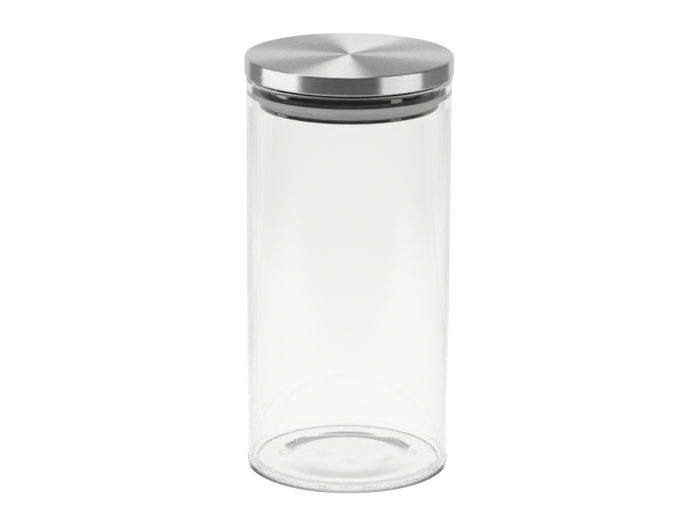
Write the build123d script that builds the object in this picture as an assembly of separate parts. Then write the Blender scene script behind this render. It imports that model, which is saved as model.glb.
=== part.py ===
"""Lidded glass canister: a tube-formed glass jar with a push-in steel lid.

Frame: millimetres, +Z up, origin on the jar's axis in the plane it stands on.
Every piece but the lid's stiffener is turned about that axis, so each one is
drawn as a half section (radius across, height up) and revolved.
"""
from build123d import *
import os

# ---------------------------------------------------------------- jar
JAR_RADIUS = 50.0
WALL = 2.25
RIM_HEIGHT = 197.2
FLOOR_HEIGHT = 2.8          # top of the glass floor, at its edge
FLOOR_FILLET = 4.5          # inside, floor to wall
FLOOR_RISE = 0.4            # how much higher the floor is in the middle
FLOOR_CREST_RADIUS = 10.0   # level middle of the floor
FLOOR_EDGE_RADIUS = 38.0    # where the rise ends
HEEL_RADIUS = 3.0           # outside, wall to foot
PUNT_DEPTH = 1.3            # hollow pushed up under the floor
PUNT_CREST_RADIUS = 25.0    # its level top
FOOT_RADIUS = 38.0          # its rim, the inner edge of the ring that the jar stands on
BORE_RADIUS = JAR_RADIUS - WALL

# ---------------------------------------------------------------- lid
SHEET = 0.5                 # steel sheet of the cap, the plug and the bottom plate
CAP_RADIUS = 50.9
CAP_HEIGHT = 208.0
CAP_CORNER = 1.2            # top edge, outside
SKIRT_BOTTOM = 198.7
HEM_CORNER = 0.7            # bottom edge, outside
HEM_REACH = 2.4             # how far the hem turns in under the plug's flange

PLUG_RADIUS = 43.6
PLUG_BOTTOM = 183.5
FLANGE_GAP = 0.1            # flange edge and stiffener edge to the cap's skirt
GROOVE_RADIUS = 41.4        # outside of the steel at the bottom of the seal's groove
GROOVE_TOP = 190.1
LIP_HEIGHT = 2.05           # crimped edge that joins the bottom plate to the plug
LIP_FOLD = 1.6              # how far the bottom plate folds back over the plug
LIP_CORNER = 0.4

SEAL_RADIUS = 47.5
SEAL_TOP = 191.9            # where the lip's faces meet, before its tip is rounded
SEAL_BAND = 2.55            # height of the face that grips the glass
SEAL_FOOT_RADIUS = 43.4     # where the lead-in taper ends, on the plug's folded edge
SEAL_CORNER = 1.2           # gripping face to taper
SEAL_EDGE = 0.3             # tip of the lip, and lower end of the taper

STIFFENER_PLATE = 2.0
STIFFENER_RIB = 1.6
STIFFENER_RINGS = (16.0, 31.0)      # mean radii of the ring ribs
STIFFENER_SPOKES = 12

CAP_INSIDE_RADIUS = CAP_RADIUS - SHEET
CAP_CEILING = CAP_HEIGHT - SHEET
FLANGE_RADIUS = CAP_INSIDE_RADIUS - FLANGE_GAP
FLANGE_BOTTOM = SKIRT_BOTTOM + SHEET
FLANGE_TOP = FLANGE_BOTTOM + SHEET
PLATE_TOP = PLUG_BOTTOM + SHEET
LIP_TOP = PLUG_BOTTOM + LIP_HEIGHT


def section(r_in, r_out, z_low, z_high):
    """A rectangle of the half section, between two radii and two heights."""
    middle = Pos((r_in + r_out) / 2, (z_low + z_high) / 2)
    return middle * Rectangle(r_out - r_in, z_high - z_low)


def rounded(profile, radius, *corners):
    """The profile with the vertex nearest each (radius, height) corner rounded."""
    for r, z in corners:
        vertex = profile.vertices().sort_by_distance((r, z, 0))[0]
        profile = fillet(vertex, radius)
    return profile


def mound(crest_radius, edge_radius, rise):
    """Half section of a low mound: level on top, then eased down to nothing at its edge."""
    crest = Line((0, rise), (crest_radius, rise))
    slope = Spline((crest_radius, rise), (edge_radius, 0), tangents=((1, 0), (1, 0)))
    base = Polyline((edge_radius, 0), (0, 0), (0, rise))
    return make_face(crest + slope + base)


def turned(profile):
    """The half section revolved into a solid about the jar's axis."""
    return revolve(Plane.XZ * profile, Axis.Z)


def glass_jar():
    """One piece of glass: thin wall, fire-polished rim, and a floor pushed up in the middle."""
    body = section(0, JAR_RADIUS, 0, RIM_HEIGHT)
    body = rounded(body, HEEL_RADIUS, (JAR_RADIUS, 0))
    inside = section(0, BORE_RADIUS, FLOOR_HEIGHT, RIM_HEIGHT + WALL)
    inside = rounded(inside, FLOOR_FILLET, (BORE_RADIUS, FLOOR_HEIGHT))
    rise = Pos(0, FLOOR_HEIGHT) * mound(FLOOR_CREST_RADIUS, FLOOR_EDGE_RADIUS, FLOOR_RISE)
    punt = mound(PUNT_CREST_RADIUS, FOOT_RADIUS, PUNT_DEPTH)
    glass = body - inside + rise - punt
    rim = [(BORE_RADIUS, RIM_HEIGHT), (JAR_RADIUS, RIM_HEIGHT)]
    return turned(rounded(glass, WALL * 0.49, *rim))


def lid_cap():
    """Spun steel cap: flat top, short skirt and a hem turned in at the bottom."""
    outside = section(0, CAP_RADIUS, SKIRT_BOTTOM, CAP_HEIGHT)
    outside = rounded(outside, CAP_CORNER, (CAP_RADIUS, CAP_HEIGHT))
    outside = rounded(outside, HEM_CORNER, (CAP_RADIUS, SKIRT_BOTTOM))
    inside = section(0, CAP_INSIDE_RADIUS, FLANGE_BOTTOM, CAP_CEILING)
    inside = rounded(inside, CAP_CORNER - SHEET, (CAP_INSIDE_RADIUS, CAP_CEILING))
    opening = section(0, CAP_RADIUS - HEM_REACH, SKIRT_BOTTOM, FLANGE_BOTTOM)
    return turned(outside - inside - opening)


def lid_stiffener():
    """Moulded disc inside the cap that keeps the thin top flat and the flange pinched."""
    edge = CAP_CORNER - SHEET
    plate = section(0, FLANGE_RADIUS, CAP_CEILING - STIFFENER_PLATE, CAP_CEILING)
    plate = rounded(plate, edge + FLANGE_GAP, (FLANGE_RADIUS, CAP_CEILING))
    disc = turned(plate)
    rib_top = CAP_CEILING - STIFFENER_PLATE
    outer_wall = FLANGE_RADIUS - STIFFENER_RIB / 2
    for mean in (*STIFFENER_RINGS, outer_wall):
        half = STIFFENER_RIB / 2
        disc += turned(section(mean - half, mean + half, FLANGE_TOP, rib_top))
    spoke_length = outer_wall - STIFFENER_RINGS[0]
    spoke_middle = (outer_wall + STIFFENER_RINGS[0]) / 2
    spoke = Box(spoke_length, STIFFENER_RIB, rib_top - FLANGE_TOP)
    spoke = Pos(spoke_middle, 0, (rib_top + FLANGE_TOP) / 2) * spoke
    for index in range(STIFFENER_SPOKES):
        disc += Rot(0, 0, index * 360 / STIFFENER_SPOKES) * spoke
    return disc


def lid_plug():
    """Pressed steel sleeve: flange under the cap, straight neck, groove, turned-out foot."""
    lower_shoulder = LIP_TOP - SHEET
    flange = section(PLUG_RADIUS - SHEET, FLANGE_RADIUS, FLANGE_BOTTOM, FLANGE_TOP)
    neck = section(PLUG_RADIUS - SHEET, PLUG_RADIUS, GROOVE_TOP, FLANGE_TOP)
    shoulder = section(GROOVE_RADIUS - SHEET, PLUG_RADIUS, GROOVE_TOP, GROOVE_TOP + SHEET)
    groove = section(GROOVE_RADIUS - SHEET, GROOVE_RADIUS, PLATE_TOP, GROOVE_TOP + SHEET)
    foot = section(GROOVE_RADIUS - SHEET, PLUG_RADIUS - SHEET, PLATE_TOP, lower_shoulder)
    profile = flange + neck + shoulder + groove + foot
    profile = rounded(profile, SHEET * 0.6, (PLUG_RADIUS, GROOVE_TOP))
    return turned(profile)


def bottom_plate():
    """Steel disc that closes the plug; its rim is folded up and over the plug's foot."""
    disc = section(0, PLUG_RADIUS, PLUG_BOTTOM, PLATE_TOP)
    rim = section(PLUG_RADIUS - SHEET, PLUG_RADIUS, PLUG_BOTTOM, LIP_TOP)
    fold = section(PLUG_RADIUS - LIP_FOLD, PLUG_RADIUS, LIP_TOP - SHEET, LIP_TOP)
    corners = [(PLUG_RADIUS, PLUG_BOTTOM), (PLUG_RADIUS, LIP_TOP)]
    return turned(rounded(disc + rim + fold, LIP_CORNER, *corners))


def seal_ring():
    """Silicone ring stretched into the plug's groove: a lip that grips the glass, and a taper."""
    band_bottom = SEAL_TOP - SEAL_BAND
    section_line = Polyline(
        (GROOVE_RADIUS, LIP_TOP),
        (SEAL_FOOT_RADIUS, LIP_TOP),
        (SEAL_RADIUS, band_bottom),
        (SEAL_RADIUS, SEAL_TOP),
        (PLUG_RADIUS, GROOVE_TOP),
        (GROOVE_RADIUS, GROOVE_TOP),
        close=True,
    )
    profile = rounded(make_face(section_line), SEAL_CORNER, (SEAL_RADIUS, band_bottom))
    edges = [(SEAL_RADIUS, SEAL_TOP), (SEAL_FOOT_RADIUS, LIP_TOP)]
    return turned(rounded(profile, SEAL_EDGE, *edges))


PARTS = (glass_jar, lid_cap, lid_stiffener, lid_plug, bottom_plate, seal_ring)

os.makedirs("parts", exist_ok=True)
for make in PARTS:
    export_step(make(), f"parts/{make.__name__}.step")
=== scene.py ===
"""Looks of the lidded glass canister: turned meshes, materials, studio and camera."""

import math

import bmesh
import bpy
from mathutils import Matrix, Vector


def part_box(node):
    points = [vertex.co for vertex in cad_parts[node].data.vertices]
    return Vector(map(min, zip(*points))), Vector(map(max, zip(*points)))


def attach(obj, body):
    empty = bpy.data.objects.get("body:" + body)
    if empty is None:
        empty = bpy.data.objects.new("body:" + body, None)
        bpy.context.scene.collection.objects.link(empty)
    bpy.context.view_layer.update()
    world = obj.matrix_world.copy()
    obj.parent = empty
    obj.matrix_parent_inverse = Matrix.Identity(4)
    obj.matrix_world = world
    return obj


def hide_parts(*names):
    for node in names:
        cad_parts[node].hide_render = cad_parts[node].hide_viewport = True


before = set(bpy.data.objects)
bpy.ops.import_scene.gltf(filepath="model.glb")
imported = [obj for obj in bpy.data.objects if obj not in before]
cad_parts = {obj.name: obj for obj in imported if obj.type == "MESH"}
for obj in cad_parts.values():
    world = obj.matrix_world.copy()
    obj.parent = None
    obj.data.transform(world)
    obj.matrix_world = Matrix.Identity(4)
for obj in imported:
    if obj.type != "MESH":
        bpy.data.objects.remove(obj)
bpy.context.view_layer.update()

MM = 0.001
SEGMENTS = 288                  # round every turned piece
ARC_STEP = math.radians(4.5)    # along a rounded corner of a half section
SLOPE_STEPS = 24                # along the flat and along the slope of the jar's floor
SUPPORT = 0.015 * MM            # length of the strips that keep smooth shading to the corners
SHARP = math.radians(30)        # steeper edges than this aren't smoothed over
ON_AXIS = 1e-7                  # a smaller radius than this is a single point

# ------------------------------------------------------------- sizes, in part from the frame
_, JAR_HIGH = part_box("glass_jar")
CAP_LOW, CAP_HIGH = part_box("lid_cap")
PLUG_LOW, PLUG_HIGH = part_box("lid_plug")
PLATE_LOW, PLATE_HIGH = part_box("bottom_plate")

JAR_RADIUS = JAR_HIGH.x
WALL = 2.25 * MM
BORE_RADIUS = JAR_RADIUS - WALL
FLOOR_HEIGHT = 2.8 * MM         # top of the glass floor, at its edge
FLOOR_FILLET = 4.5 * MM
FLOOR_RISE = 0.4 * MM           # how much higher the floor is in the middle
FLOOR_CREST_RADIUS = 10.0 * MM
FLOOR_EDGE_RADIUS = 38.0 * MM
HEEL_RADIUS = 3.0 * MM
PUNT_DEPTH = 1.3 * MM           # hollow pushed up under the floor
PUNT_CREST_RADIUS = 25.0 * MM
FOOT_RADIUS = 38.0 * MM
RIPPLE = 0.06 * MM              # unevenness of the pressed glass floor

SHEET = 0.5 * MM
CAP_CORNER = 1.2 * MM
HEM_CORNER = 0.7 * MM
HEM_REACH = 2.4 * MM
PLATE_RADIUS = PLATE_HIGH.x
GROOVE_RADIUS = 41.4 * MM
GROOVE_TOP = 190.1 * MM
LIP_FOLD = 1.6 * MM
LIP_CORNER = 0.4 * MM
SEAL_TOP = 191.9 * MM           # where the lip's faces meet, before its tip is rounded
SEAL_BAND = 2.55 * MM
SEAL_FOOT_RADIUS = 43.4 * MM
SEAL_CORNER = 1.2 * MM
SEAL_EDGE = 0.3 * MM
SEAL_SQUEEZE = 0.05 * MM        # the rubber lies pressed flat on the glass

# ------------------------------------------------------------- camera
CAMERA_BACK = 1.499
CAMERA_HEIGHT = 0.5357
CAMERA_PITCH = 16.1065
CAMERA_ROLL = 0.3098
CAMERA_YAW = 0.0333
FOCAL_LENGTH = 162.37
SENSOR_WIDTH = 36.0

# ------------------------------------------------------------- tones of the studio
WHITE = 1.06                    # paper and room, as seen
THROUGH = 0.985                 # the same, through the glass
EDGE = 0.72                     # the same, after one reflection inside the glass wall
PIPED = 1.12                    # the same, led through the glass by more than MANY_TURNS of them
MANY_TURNS = 8
DARK = 0.04                     # the unlit room, as mirrors show it
FILL_BELOW = 0.5                # soft light on dull surfaces from the floor
FILL_FRONT = 0.85               # the same from the room in front and behind
FILL_SIDES = 5.0                # the same from its two sides
FILL_TURN = (0.4, 1.0)          # how far sideways the light changes from one to the other
CEILING = (0.25, 0.5)           # how steeply up the room turns dim, as the glass shows it
CEILING_GLOW = 0.55

# The white paper on the floor. Pairs are distances where a change starts and where it is full.
FLOOR_REACH = 3.0
FLOOR_GAP = 0.05 * MM           # air that keeps the foot from being one with the floor
PAPER_FRONT = (0.2, 0.35)       # mirrors show the paper fade into the dim room in front
PAPER_SIDE = (0.35, 0.6)        # and at the sides
PAPER_BACK = (0.05, 0.3)        # and turn a little greyer behind the jar
PAPER_FAR = 0.75
FOOT_SHADE_RADIUS = 0.0525      # painted shade: mirrors show the paper dark within this radius, close to the foot
PAPER_RADII = (0.1, 0.7)        # the glass shows it fade all round but behind
PAPER_BEHIND = 0.2
TURNED_BACK = 1.0               # beyond PAPER_RADII, after several reflections in the glass

# Painted shade on the paper under the jar: a shadow crescent, cloudy caustic shade and a contact shadow
# at the foot. Inner and outer pairs are radii, from no shade to full.
CRESCENT_INNER = (0.012, 0.029)
CRESCENT_OUTER = (0.036, 0.031)
CRESCENT_FRONT = (0.2, 0.95)    # how far towards the camera's side it starts and is full
CRESCENT_DEPTH = 0.26
CAUSTIC_SHADE_SCALE = 75.0
CAUSTIC_SHADE_TONES = (0.52, 0.8)      # noise values where a patch of painted caustic shade starts and is full
CAUSTIC_SHADE_OUTER = (0.036, 0.02)
CAUSTIC_SHADE_DEPTH = 0.16
CONTACT_INNER = (0.0455, 0.0475)
CONTACT_OUTER = (0.0503, 0.0497)
CONTACT_FRONT = (0.0, 0.35)
CONTACT_DEPTH = (0.5, 0.85)     # depth of the painted contact shadow in front, and at the two sides

# Light cards
CARD_RADIUS = 0.8
CARD_STEP = 3                   # degrees, along a curved card
CARD_TURNS = 3                  # no path sees a card after more reflections than this
HARD_EDGE = 1e-4                # share of a card's width over which a hard edge fades
SKY_RADIUS = 0.6
SKY_STEPS = 12
WARM = (1.0, 0.96, 0.92)
SOFTBOX_SPLIT = (((0.06, 0.3), 1.2), ((0.3, 1.1), 0.4))     # heights, and share of the light
WALL_HEIGHTS = (-0.4, 0.9)
BACKDROP_LOW = (-0.4, 0.48)
BACKDROP_HIGH = (0.48, 1.4)
STRIP_HEIGHTS = (-0.05, 0.06)
BEHIND_WALL = (4, 12)           # glass surfaces passed on the way to the neck and back


# ------------------------------------------------------------- half sections and turning
def rounded(before, corner, after, radius):
    """Points of the arc that rounds one corner of an outline."""
    px, pz = corner
    ux, uz = before[0] - px, before[1] - pz
    vx, vz = after[0] - px, after[1] - pz
    u_length, v_length = math.hypot(ux, uz), math.hypot(vx, vz)
    ux, uz, vx, vz = ux / u_length, uz / u_length, vx / v_length, vz / v_length
    half = math.acos(max(-1.0, min(1.0, ux * vx + uz * vz))) / 2
    tangent = radius / math.tan(half)
    middle = math.hypot(ux + vx, uz + vz)
    reach = radius / math.sin(half)
    cx = px + (ux + vx) / middle * reach
    cz = pz + (uz + vz) / middle * reach
    start = math.atan2(pz + uz * tangent - cz, px + ux * tangent - cx)
    end = math.atan2(pz + vz * tangent - cz, px + vx * tangent - cx)
    turn = (end - start + math.pi) % (2 * math.pi) - math.pi
    steps = max(2, round(abs(turn) / ARC_STEP))
    angles = [start + turn * step / steps for step in range(steps + 1)]
    arc = [(cx + radius * math.cos(a), cz + radius * math.sin(a)) for a in angles]
    run = tangent + SUPPORT
    return [(px + ux * run, pz + uz * run), *arc, (px + vx * run, pz + vz * run)]


def outline(*corners):
    """A half section as (radius, height) points; a third number rounds its corner."""
    points = []
    for index, corner in enumerate(corners):
        here = corner[:2]
        if len(corner) == 2:
            points.append(here)
        else:
            before = corners[index - 1][:2]
            after = corners[(index + 1) % len(corners)][:2]
            points += rounded(before, here, after, corner[2])
    return points


def turned(name, points, body, node, material):
    """A piece turned about the jar's axis from a closed half section."""
    mesh = bmesh.new()
    angles = [2 * math.pi * s / SEGMENTS for s in range(SEGMENTS)]
    rings = []
    for radius, height in points:
        if radius < ON_AXIS:
            rings.append([mesh.verts.new((0, 0, height))])
        else:
            circle = [(radius * math.cos(a), radius * math.sin(a), height) for a in angles]
            rings.append([mesh.verts.new(place) for place in circle])
    for ring, following in zip(rings, rings[1:] + rings[:1]):
        if len(ring) == 1 and len(following) == 1:
            continue
        for s in range(SEGMENTS):
            t = (s + 1) % SEGMENTS
            corners = [ring[s % len(ring)], ring[t % len(ring)]]
            corners += [following[t % len(following)], following[s % len(following)]]
            mesh.faces.new(list(dict.fromkeys(corners)))
    bmesh.ops.recalc_face_normals(mesh, faces=mesh.faces)
    data = bpy.data.meshes.new(name)
    mesh.to_mesh(data)
    mesh.free()
    data.shade_smooth()
    data.set_sharp_from_angle(angle=SHARP)
    data.materials.append(material)
    piece = bpy.data.objects.new(name, data)
    bpy.context.scene.collection.objects.link(piece)
    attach(piece, body)
    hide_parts(node)
    return piece


# ------------------------------------------------------------- shader helpers
class Shader:
    """A node material, with short calls for the nodes that the materials here share."""

    def __init__(self, name, owner=None):
        if owner is None:
            owner = bpy.data.materials.new(name)
        owner.use_nodes = True
        self.owner = owner
        self.tree = owner.node_tree
        self.tree.nodes.clear()

    def put(self, value, socket):
        """A value, or another node's output, into an input."""
        if isinstance(value, bpy.types.NodeSocket):
            self.tree.links.new(value, socket)
        else:
            socket.default_value = value

    def add(self, kind, settings=None, **inputs):
        """A node, its settings, and its inputs as values or as other nodes' outputs."""
        node = self.tree.nodes.new(kind)
        for key, value in (settings or {}).items():
            setattr(node, key, value)
        for key, value in inputs.items():
            self.put(value, node.inputs[key.replace("_", " ")])
        return node

    def math(self, operation, first, second=0.0, clamp=False):
        """One step of arithmetic."""
        node = self.add("ShaderNodeMath", {"operation": operation, "use_clamp": clamp})
        self.put(first, node.inputs[0])
        self.put(second, node.inputs[1])
        return node.outputs[0]

    def product(self, first, *others):
        """All the values multiplied."""
        for other in others:
            first = self.math("MULTIPLY", first, other)
        return first

    def inverted(self, value):
        """1 where the value is 0, and 0 where it is 1."""
        return self.math("SUBTRACT", 1.0, value)

    def more_than(self, value, count):
        """1 where a counted value is above count, else 0."""
        return self.math("GREATER_THAN", value, count + 0.5)

    def fade(self, value, start, end):
        """0 before start, 1 past end, and smooth between them."""
        node = self.add("ShaderNodeMapRange", {"interpolation_type": "SMOOTHSTEP"}, Value=value)
        node.inputs["From Min"].default_value = start
        node.inputs["From Max"].default_value = end
        return node.outputs[0]

    def spread(self, value, low, high):
        """A 0 to 1 value stretched to run from low to high."""
        settings = {"clamp": False}
        node = self.add("ShaderNodeMapRange", settings, Value=value, To_Min=low, To_Max=high)
        return node.outputs[0]

    def choose(self, chooser, no, yes):
        """no where chooser is 0 and yes where it is 1."""
        mix = self.add("ShaderNodeMix", {"data_type": "FLOAT"}, Factor=chooser)
        self.put(no, mix.inputs["A"])
        self.put(yes, mix.inputs["B"])
        return mix.outputs[0]

    def between(self, chooser, first, second):
        """A colour that runs from first to second as chooser runs from 0 to 1."""
        mix = self.add("ShaderNodeMix", {"data_type": "RGBA"})
        self.put(chooser, mix.inputs["Factor"])
        mix.inputs["A"].default_value = (*first, 1)
        mix.inputs["B"].default_value = (*second, 1)
        return mix.outputs["Result"]

    def position(self):
        """Object coordinates: the model's own frame, in metres."""
        return self.add("ShaderNodeTexCoord").outputs["Object"]

    def parts(self, vector):
        """The x, y and z of a vector."""
        return self.add("ShaderNodeSeparateXYZ", Vector=vector).outputs

    def around_axis(self, along, radial, upright):
        """Coordinates that follow circles about the jar's axis, with no seam.

        along, radial and upright say how quickly they change round a circle, outwards and upwards.
        """
        x, y, z = self.parts(self.position())
        radius = self.math("SQRT", self.math("ADD", self.product(x, x), self.product(y, y)))
        nonzero = self.math("MAXIMUM", radius, 0.2 * MM)
        outward = self.math("ADD", self.product(radius, radial), self.product(z, upright))
        cos = self.product(self.math("DIVIDE", x, nonzero), along)
        sin = self.product(self.math("DIVIDE", y, nonzero), along)
        return self.add("ShaderNodeCombineXYZ", X=cos, Y=sin, Z=outward).outputs[0]

    def noise(self, vector, scale=1.0, detail=2.0, roughness=0.5):
        """Cloudy values from 0 to 1."""
        inputs = {"Vector": vector, "Scale": scale, "Detail": detail, "Roughness": roughness}
        return self.add("ShaderNodeTexNoise", **inputs).outputs[0]

    def bump(self, height, strength, distance):
        """A normal for fine relief."""
        node = self.add("ShaderNodeBump", Strength=strength, Distance=distance, Height=height)
        return node.outputs[0]

    def surface(self, shader):
        """The owner, finished with this shader on its output."""
        is_world = isinstance(self.owner, bpy.types.World)
        self.add("ShaderNodeOutput" + ("World" if is_world else "Material"), Surface=shader.outputs[0])
        return self.owner

    def passes(self):
        """How many glass surfaces a path has passed."""
        return self.add("ShaderNodeLightPath").outputs["Transmission Depth"]

    def turns(self):
        """How many times a path has been reflected."""
        path = self.add("ShaderNodeLightPath")
        return self.math("SUBTRACT", path.outputs["Ray Depth"], path.outputs["Transmission Depth"])

    def bounced(self):
        """1 on a path that has already been reflected anywhere, else 0."""
        return self.math("MINIMUM", self.turns(), 1.0)

    def white_where_seen(self, shown_in_mirrors, shown_in_glass, fill):
        """Strength of a white thing as seen, through glass, on dull surfaces and in reflections."""
        behind_glass = self.math("MINIMUM", self.passes(), 1.0)
        path = self.add("ShaderNodeLightPath")
        dull = self.math("MINIMUM", path.outputs["Diffuse Depth"], 1.0)
        seen = self.choose(behind_glass, WHITE, THROUGH)
        reflected = self.choose(behind_glass, shown_in_mirrors, shown_in_glass)
        return self.choose(self.bounced(), seen, self.choose(dull, reflected, fill))

    def in_the_wall(self, room):
        """White that the glass shows after one reflection inside it, or the room after several."""
        turns = self.turns()
        several = self.choose(self.more_than(turns, MANY_TURNS), room, PIPED)
        return self.choose(self.more_than(turns, 1), EDGE, several)


# ------------------------------------------------------------- materials
def clear_glass():
    """Borosilicate glass with the faint upright draw lines of tube stock, gone near the worked foot."""
    s = Shader("clear_glass")
    lines = s.noise(s.around_axis(along=22.0, radial=0.0, upright=3.0), detail=1.0)
    height = s.parts(s.position())[2]
    lines = s.product(lines, s.fade(height, 10 * MM, 40 * MM))
    return s.surface(
        s.add(
            "ShaderNodeBsdfPrincipled",
            Base_Color=(0.985, 0.985, 0.983, 1),
            Roughness=0.0,
            IOR=1.47,
            Transmission_Weight=1.0,
            Normal=s.bump(lines, 0.02, 1 * MM),
        )
    )


def brushed_steel():
    """Stainless sheet spun under an abrasive: circular hairlines of uneven depth."""
    s = Shader("brushed_steel")
    fine = s.around_axis(along=3.0, radial=5200.0, upright=5200.0)
    hairlines = s.noise(fine, detail=3.0, roughness=0.7)
    coarse = s.around_axis(along=2.2, radial=900.0, upright=1400.0)
    streaks = s.noise(coarse, roughness=0.6)
    smudges = s.noise(s.position(), scale=42.0)
    roughness = s.math("ADD", s.spread(streaks, 0.25, 0.31), s.spread(smudges, -0.02, 0.02))
    grain = s.add("ShaderNodeTangent", {"direction_type": "RADIAL", "axis": "Z"}).outputs[0]
    return s.surface(
        s.add(
            "ShaderNodeBsdfPrincipled",
            Base_Color=s.between(hairlines, (0.60, 0.60, 0.60), (0.68, 0.68, 0.675)),
            Metallic=1.0,
            Roughness=roughness,
            Anisotropic=1.0,
            Anisotropic_Rotation=0.25,
            Tangent=grain,
            Normal=s.bump(hairlines, 0.03, 0.02 * MM),
        )
    )


def polished_steel():
    """Bright drawn sheet: nearly a mirror, with faint marks of the press round it. Its colour is
    darkened well below the cap's steel, as painted shade for the neck and lip under the cap.
    """
    s = Shader("polished_steel")
    marks = s.noise(s.around_axis(along=5.0, radial=1600.0, upright=1600.0))
    return s.surface(
        s.add(
            "ShaderNodeBsdfPrincipled",
            # painted shade: a far darker colour than the cap's steel, for the dim neck and lip under
            # the cap
            Base_Color=(0.25, 0.25, 0.25, 1),
            Metallic=1.0,
            Roughness=s.spread(marks, 0.04, 0.1),
            Normal=s.bump(marks, 0.03, 0.02 * MM),
        )
    )


def silicone():
    """Grey translucent silicone rubber, a little cloudy."""
    s = Shader("silicone")
    cloud = s.noise(s.around_axis(along=4.0, radial=120.0, upright=260.0))
    return s.surface(
        s.add(
            "ShaderNodeBsdfPrincipled",
            Base_Color=s.between(cloud, (0.80, 0.80, 0.80), (0.90, 0.90, 0.895)),
            Roughness=s.spread(cloud, 0.38, 0.5),
            IOR=1.41,
            Subsurface_Weight=0.6,
            Subsurface_Radius=(1.0, 1.0, 1.0),
            Subsurface_Scale=1.5 * MM,
            Normal=s.bump(cloud, 0.1, 0.1 * MM),
        )
    )


def stiffener_plastic():
    """Dark moulded plastic, hidden inside the cap."""
    s = Shader("stiffener_plastic")
    grain = s.noise(s.position(), scale=1800.0, detail=3.0)
    return s.surface(
        s.add(
            "ShaderNodeBsdfPrincipled",
            Base_Color=(0.05, 0.05, 0.055, 1),
            Roughness=s.spread(grain, 0.45, 0.65),
            Normal=s.bump(grain, 0.2, 0.05 * MM),
        )
    )


# ------------------------------------------------------------- pieces
def mound(crest_radius, edge_radius, height, rise):
    """Points from the axis outwards: level at height plus rise, then eased down to height."""
    steps = SLOPE_STEPS
    points = [(crest_radius * step / steps, height + rise) for step in range(steps)]
    for step in range(steps + 1):
        radius = crest_radius + (edge_radius - crest_radius) * step / steps
        points.append((radius, height + rise * (0.5 + 0.5 * math.cos(math.pi * step / steps))))
    return points


def ripple(x, y):
    """Height of the slow, uneven waves of the pressed floor, about RIPPLE high."""
    wave = math.sin(x / (7 * MM) + 1.3) * math.cos(y / (9 * MM))
    wave += 0.7 * math.sin((x + 2 * y) / (14 * MM) + 0.4)
    return RIPPLE * wave


def build_jar(material):
    """One piece of glass: thin wall, fire-polished rim, and a floor pushed up in the middle."""
    rim = JAR_HIGH.z
    rim_round = WALL * 0.49
    under = mound(PUNT_CREST_RADIUS, FOOT_RADIUS, 0, PUNT_DEPTH)
    inside = mound(FLOOR_CREST_RADIUS, FLOOR_EDGE_RADIUS, FLOOR_HEIGHT, FLOOR_RISE)
    wall = outline(
        (FOOT_RADIUS, 0),
        (JAR_RADIUS, 0, HEEL_RADIUS),
        (JAR_RADIUS, rim, rim_round),
        (BORE_RADIUS, rim, rim_round),
        (BORE_RADIUS, FLOOR_HEIGHT, FLOOR_FILLET),
        (FLOOR_EDGE_RADIUS, FLOOR_HEIGHT),
    )
    points = under[:-1] + wall[:-1] + inside[::-1]
    jar = turned("jar_glass", points, "jar", "glass_jar", material)
    flat_radius = BORE_RADIUS - FLOOR_FILLET
    margin = 0.1 * MM
    lowest, highest = PUNT_DEPTH + margin, FLOOR_HEIGHT + FLOOR_RISE + margin
    for vertex in jar.data.vertices:
        x, y, z = vertex.co
        share = math.hypot(x, y) / flat_radius
        if share < 1 and lowest < z < highest:
            vertex.co.z += ripple(x, y) * (1 - share**2)


def build_cap(material):
    """Spun steel cap: flat top, short skirt and a hem turned in at the bottom."""
    radius, low, top = CAP_HIGH.x, CAP_LOW.z, CAP_HIGH.z
    points = outline(
        (0, top),
        (radius, top, CAP_CORNER),
        (radius, low, HEM_CORNER),
        (radius - HEM_REACH, low),
        (radius - HEM_REACH, low + SHEET),
        (radius - SHEET, low + SHEET),
        (radius - SHEET, top - SHEET, CAP_CORNER - SHEET),
        (0, top - SHEET),
    )
    turned("cap_steel", points, "lid", "lid_cap", material)


def build_plug(material):
    """Pressed steel sleeve: flange under the cap, straight neck, groove, turned-out foot."""
    inner = PLATE_RADIUS - SHEET
    groove_inner = GROOVE_RADIUS - SHEET
    flange_top = CAP_LOW.z + 2 * SHEET
    foot_top = PLATE_HIGH.z - SHEET
    points = outline(
        (groove_inner, PLUG_LOW.z),
        (inner, PLUG_LOW.z),
        (inner, foot_top),
        (GROOVE_RADIUS, foot_top, SHEET * 0.5),
        (GROOVE_RADIUS, GROOVE_TOP, SHEET * 0.5),
        (PLATE_RADIUS, GROOVE_TOP, SHEET * 0.6),
        (PLATE_RADIUS, flange_top - SHEET, SHEET * 0.8),
        (PLUG_HIGH.x, flange_top - SHEET),
        (PLUG_HIGH.x, flange_top),
        (inner, flange_top, SHEET),
        (inner, GROOVE_TOP + SHEET),
        (groove_inner, GROOVE_TOP + SHEET),
    )
    turned("plug_sleeve", points, "lid", "lid_plug", material)


def build_plate(material):
    """Steel disc that closes the plug; its rim is folded up and over the plug's foot."""
    low, top = PLATE_LOW.z, PLATE_HIGH.z
    points = outline(
        (0, low),
        (PLATE_RADIUS, low, LIP_CORNER),
        (PLATE_RADIUS, top, LIP_CORNER),
        (PLATE_RADIUS - LIP_FOLD, top),
        (PLATE_RADIUS - LIP_FOLD, top - SHEET),
        (PLATE_RADIUS - SHEET, top - SHEET),
        (PLATE_RADIUS - SHEET, low + SHEET),
        (0, low + SHEET),
    )
    turned("plug_plate", points, "lid", "bottom_plate", material)


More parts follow.
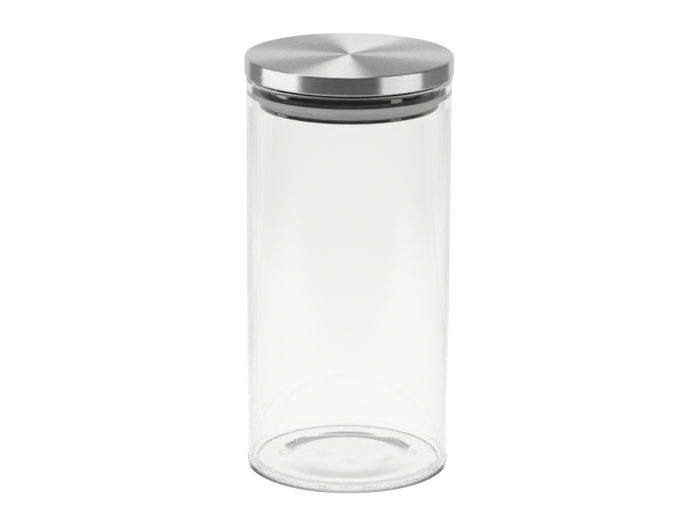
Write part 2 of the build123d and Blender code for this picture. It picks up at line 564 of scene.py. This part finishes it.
def build_seal(material):
    """Silicone ring in the plug's groove: a lip pressed on the glass, and a taper."""
    foot = PLATE_HIGH.z
    pressed = BORE_RADIUS + SEAL_SQUEEZE
    points = outline(
        (GROOVE_RADIUS, foot),
        (SEAL_FOOT_RADIUS, foot, SEAL_EDGE),
        (pressed, SEAL_TOP - SEAL_BAND, SEAL_CORNER),
        (pressed, SEAL_TOP, SEAL_EDGE),
        (PLATE_RADIUS, GROOVE_TOP),
        (GROOVE_RADIUS, GROOVE_TOP),
    )
    turned("seal_silicone", points, "lid", "seal_ring", material)


def finish_stiffener(material):
    """The ribbed disc in the cap keeps its CAD shape and gets its material."""
    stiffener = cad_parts["lid_stiffener"]
    stiffener.data.materials.clear()
    stiffener.data.materials.append(material)


# ------------------------------------------------------------- studio
def stage_mesh(name, vertices, faces, material, uvs=None):
    """A floor or card, which isn't part of the object. uvs has one place per vertex."""
    data = bpy.data.meshes.new(name)
    data.from_pydata(vertices, [], faces)
    if uvs:
        layer = data.uv_layers.new(name="UVMap")
        for loop in data.loops:
            layer.data[loop.index].uv = uvs[loop.vertex_index]
    data.materials.append(material)
    thing = bpy.data.objects.new(name, data)
    bpy.context.scene.collection.objects.link(thing)


def mirrored_paper(s, x, y, distance):
    """The paper's tone as mirrors show it: white near the jar, but for a painted shade right at its
    foot, in a dim room.
    """
    # painted contact shade: the paper close to the foot is dark in mirrors
    shaded = s.math("LESS_THAN", distance, FOOT_SHADE_RADIUS)
    aside = s.fade(s.math("ABSOLUTE", x), *PAPER_SIDE)
    before = s.fade(s.product(y, -1.0), *PAPER_FRONT)
    dim = s.math("MAXIMUM", s.math("MAXIMUM", aside, before), shaded)
    paper = s.choose(s.fade(y, *PAPER_BACK), WHITE, PAPER_FAR)
    return s.choose(dim, paper, DARK)


def glass_paper(s, y, distance):
    """The paper's tone as reflections inside the glass show it."""
    in_front = s.math("LESS_THAN", y, PAPER_BEHIND)
    far_front = s.product(s.fade(distance, *PAPER_RADII), in_front)
    turned_back = s.choose(s.more_than(s.turns(), 1), DARK, TURNED_BACK)
    return s.choose(far_front, s.in_the_wall(THROUGH), turned_back)


def paper_shade(s, place, x, y, distance):
    """Painted shade on the paper under the jar: a soft shadow crescent, faint cloudy caustic shade and
    a contact shadow line at the foot.
    """
    divisor = s.math("MAXIMUM", distance, MM)
    sideways = s.math("DIVIDE", s.math("ABSOLUTE", x), divisor)
    frontward = s.math("DIVIDE", s.product(y, -1.0), divisor)
    ring = s.product(s.fade(distance, *CRESCENT_INNER), s.fade(distance, *CRESCENT_OUTER))
    # painted shadow of the jar on the paper in front, a soft crescent
    crescent = s.product(ring, s.fade(frontward, *CRESCENT_FRONT), CRESCENT_DEPTH)
    # painted caustic shade: faint cloudy darkening of the paper under the jar
    clouds = s.fade(s.noise(place, scale=CAUSTIC_SHADE_SCALE, detail=1.0), *CAUSTIC_SHADE_TONES)
    caustic_shade = s.product(clouds, s.fade(distance, *CAUSTIC_SHADE_OUTER), CAUSTIC_SHADE_DEPTH)
    line = s.product(s.fade(distance, *CONTACT_INNER), s.fade(distance, *CONTACT_OUTER))
    depth = s.product(s.fade(frontward, *CONTACT_FRONT), s.spread(sideways, *CONTACT_DEPTH))
    # painted contact shadow round the foot, on direct paths only
    contact = s.product(line, s.inverted(s.bounced()), depth)
    return s.math("MAXIMUM", s.math("ADD", crescent, caustic_shade), contact)


def build_floor():
    """A pale floor. Mirrors show white paper under and behind the jar, and a dim room round it."""
    s = Shader("floor_white")
    place = s.position()
    x, y, _ = s.parts(place)
    length = s.add("ShaderNodeVectorMath", {"operation": "LENGTH"}, Vector=place)
    distance = length.outputs["Value"]
    in_mirrors = mirrored_paper(s, x, y, distance)
    in_glass = glass_paper(s, y, distance)
    light = s.white_where_seen(in_mirrors, in_glass, FILL_BELOW)
    # painted shadows of the jar darken the paper here
    light = s.product(light, s.inverted(paper_shade(s, place, x, y, distance)))
    material = s.surface(s.add("ShaderNodeEmission", Strength=light))
    material.cycles.emission_sampling = "NONE"
    signs = ((-1, -1), (1, -1), (1, 1), (-1, 1))
    corners = [(FLOOR_REACH * i, FLOOR_REACH * j, -FLOOR_GAP) for i, j in signs]
    stage_mesh("floor", corners, [(0, 1, 2, 3)], material)


def build_world():
    """The room: dark in mirrors, white through the glass, and brighter at the sides on dull things."""
    world = bpy.data.worlds.new("studio")
    s = Shader("studio", world)
    x, _, upward = s.parts(s.add("ShaderNodeTexCoord").outputs["Generated"])
    room = s.choose(s.fade(upward, *CEILING), THROUGH, CEILING_GLOW)
    fill = s.choose(s.fade(s.math("ABSOLUTE", x), *FILL_TURN), FILL_FRONT, FILL_SIDES)
    light = s.white_where_seen(DARK, s.in_the_wall(room), fill)
    s.surface(s.add("ShaderNodeBackground", Strength=light))
    world.cycles.sampling_method = "NONE"
    bpy.context.scene.world = world


def light_card(name, strength, tint, soft, passes_seen):
    """Emission for a card: seen only in reflections, fading over its soft start and end.

    passes_seen bounds how many glass surfaces a path that still sees the card has passed.
    """
    s = Shader(name)
    across = s.parts(s.add("ShaderNodeUVMap").outputs[0])[0]
    start, end = (max(share, HARD_EDGE) for share in soft)
    rise = s.math("DIVIDE", across, start, clamp=True)
    fall = s.math("DIVIDE", s.inverted(across), end, clamp=True)
    light = s.add("ShaderNodeEmission", Color=(*tint, 1), Strength=s.product(rise, fall, strength))
    clear = s.add("ShaderNodeBsdfTransparent")
    fewest, most = passes_seen
    enough = s.more_than(s.passes(), fewest - 1)
    too_many = s.more_than(s.passes(), most)
    too_late = s.more_than(s.turns(), CARD_TURNS)
    lit = s.product(s.bounced(), enough, s.inverted(too_many), s.inverted(too_late))
    mix = s.add("ShaderNodeMixShader", Fac=lit)
    s.put(clear.outputs[0], mix.inputs[1])
    s.put(light.outputs[0], mix.inputs[2])
    return s.surface(mix)


def upright_card(name, azimuths, heights, strength, tint=(1, 1, 1), soft=(0, 0), passes_seen=(0, 2)):
    """A curved card round the jar. Azimuth 0 is towards the camera, positive to its right."""
    first, last = azimuths
    steps = max(2, round(abs(last - first) / CARD_STEP))
    vertices, uvs, faces = [], [], []
    for step in range(steps + 1):
        share = step / steps
        angle = math.radians(first + (last - first) * share)
        x, y = CARD_RADIUS * math.sin(angle), -CARD_RADIUS * math.cos(angle)
        for height, v in zip(heights, (0, 1)):
            vertices.append((x, y, height))
            uvs.append((share, v))
    for step in range(steps):
        low = 2 * step
        faces.append((low, low + 2, low + 3, low + 1))
    stage_mesh(name, vertices, faces, light_card(name, strength, tint, soft, passes_seen), uvs)


def lid_reflection(turn, tilt):
    """Where the camera's ray goes off the lid's top where its grain is tilted.

    The grain lies across a line turned from +Y towards +X by turn degrees, and its
    fine ridges lean towards the camera by tilt degrees.
    """
    elevation = math.atan2(CAMERA_HEIGHT - CAP_HIGH.z, CAMERA_BACK)
    to_camera = Vector((0, -math.cos(elevation), math.sin(elevation)))
    turn, tilt = math.radians(turn), math.radians(tilt)
    lean = -math.sin(tilt)
    normal = Vector((lean * math.sin(turn), lean * math.cos(turn), math.cos(tilt)))
    return 2 * normal.dot(to_camera) * normal - to_camera


def wedge_card(name, turns, tilts, strength, soft):
    """A high card shaped so that the brushed lid shows it as a bright wedge."""
    steps = SKY_STEPS
    middle = Vector((0, 0, CAP_HIGH.z))
    vertices, uvs, faces = [], [], []
    for row in range(steps + 1):
        tilt = tilts[0] + (tilts[1] - tilts[0]) * row / steps
        for column in range(steps + 1):
            share = column / steps
            turn = turns[0] + (turns[1] - turns[0]) * share
            vertices.append(middle + lid_reflection(turn, tilt) * SKY_RADIUS)
            uvs.append((share, row / steps))
    for row in range(steps):
        for column in range(steps):
            low = row * (steps + 1) + column
            faces.append((low, low + 1, low + steps + 2, low + steps + 1))
    material = light_card(name, strength, tint=(1, 1, 1), soft=soft, passes_seen=(0, 0))
    stage_mesh(name, vertices, faces, material, uvs)


def build_lights():
    """Cards that the steel lid shows, and low strips that only the neck behind the glass shows."""
    for heights, share in SOFTBOX_SPLIT:
        upright_card("softbox_left", (-106, -50), heights, 2.6 * share, soft=(0, 0.15))
        upright_card("softbox_right", (31, 83), heights, 2.2 * share, soft=(0.1, 0))
    upright_card("wall_left", (-136, -106), WALL_HEIGHTS, 0.3)
    upright_card("wall_right", (83, 136), WALL_HEIGHTS, 0.22)
    upright_card("backdrop", (136, 224), BACKDROP_LOW, 0.8)
    upright_card("backdrop_top", (136, 224), BACKDROP_HIGH, 0.42)
    strip = {"heights": STRIP_HEIGHTS, "passes_seen": BEHIND_WALL}
    upright_card("strip_far_left", (-163, -121), strength=1.6, **strip)
    upright_card("strip_left", (-102, -80), strength=2.0, tint=WARM, soft=(0.1, 0.3), **strip)
    upright_card("strip_right", (53, 68), strength=1.0, tint=WARM, **strip)
    upright_card("strip_far_right", (129, 165), strength=1.2, **strip)
    wedge_card("softbox_top", (-18, 34), (4, 52), strength=1.6, soft=(0.25, 0.02))


def build_camera():
    """The camera at the photograph's viewing angle."""
    data = bpy.data.cameras.new("camera")
    data.lens = FOCAL_LENGTH
    data.sensor_width = SENSOR_WIDTH
    data.clip_start = 0.01
    data.clip_end = 20.0
    camera = bpy.data.objects.new("camera", data)
    place = Matrix.Translation((0, -CAMERA_BACK, CAMERA_HEIGHT))
    for angle, axis in ((-CAMERA_YAW, "Z"), (90 - CAMERA_PITCH, "X"), (CAMERA_ROLL, "Z")):
        place = place @ Matrix.Rotation(math.radians(angle), 4, axis)
    camera.matrix_world = place
    bpy.context.scene.collection.objects.link(camera)
    bpy.context.scene.camera = camera


def set_look():
    """Plain tones, and bounces enough for light led round inside the glass."""
    scene = bpy.context.scene
    scene.view_settings.view_transform = "Standard"
    scene.cycles.max_bounces = 256
    scene.cycles.transmission_bounces = 128
    scene.cycles.glossy_bounces = 128


build_camera()
build_world()
build_floor()
build_lights()
set_look()

steel = polished_steel()
build_jar(clear_glass())
build_cap(brushed_steel())
build_plug(steel)
build_plate(steel)
build_seal(silicone())
finish_stiffener(stiffener_plastic())
